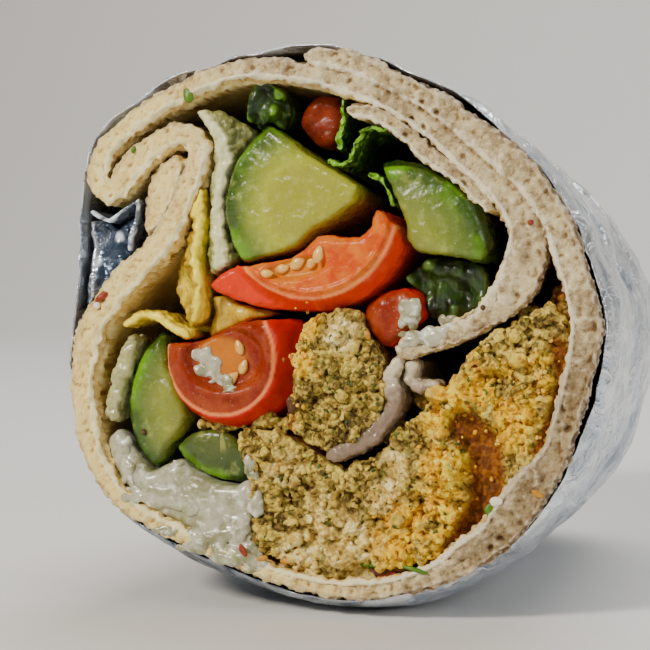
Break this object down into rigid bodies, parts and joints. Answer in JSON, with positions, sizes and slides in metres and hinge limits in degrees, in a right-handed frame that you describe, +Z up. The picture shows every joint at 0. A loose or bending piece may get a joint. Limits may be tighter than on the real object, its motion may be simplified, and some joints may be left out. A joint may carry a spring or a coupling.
{
  "type": "falafel wrap",
  "caption": "Cut half of a rolled flatbread with falafel, tomato, cucumber, leaves, onion and tahini sauce, lying on its side in aluminium foil.",
  "frame": {"origin": "middle of the small flat on the foil's underside, on which the wrap rests", "axes": "+Y from the cut face back along the roll, +Z up, +X to the right of someone looking at the cut face"},
  "size_m": [0.0748, 0.0869, 0.075],
  "materials": {
    "foil": "thin bright crinkled kitchen foil",
    "flatbread": "soft matt crumb, browned outside",
    "falafel": "coarse fried crumb, olive inside and golden outside",
    "tomato": "wet cut flesh and glossy skin",
    "cucumber": "wet pale flesh with a dark green skin",
    "lettuce": "pale yellow ribs and leaf",
    "leaf": "dark green leaf, waxy",
    "onion": "moist translucent white",
    "sauce": "smooth white tahini sauce",
    "crust": "dark fried crust crumb"
  },
  "bodies": {
    "root": {"foil_wrapper": "foil", "foil_tuck": "foil", "foil_slack": "foil", "flatbread_sheet": "flatbread", "flatbread_ply": "flatbread", "flatbread_gather": "flatbread", "cucumber_half_slice": "cucumber", "cucumber_third_slice": "cucumber", "cucumber_side_slice": "cucumber", "cucumber_end_slice": "cucumber", "tomato_crescent": "tomato", "tomato_half": "tomato", "tomato_wedge": "tomato", "tomato_chunk": "tomato", "falafel_large": "falafel", "falafel_small": "falafel", "onion_strip": "onion", "onion_curl": "onion", "onion_slice": "onion", "lettuce_shred": "lettuce", "lettuce_rib": "lettuce", "lettuce_leaf": "lettuce", "lettuce_under": "lettuce", "leaf_upright": "leaf", "leaf_curl": "leaf", "leaf_stem": "leaf", "leaf_folded": "leaf", "leaf_bundle": "leaf", "tahini_sauce": "sauce", "crust_crumb": "crust"}
  },
  "joints": []
}
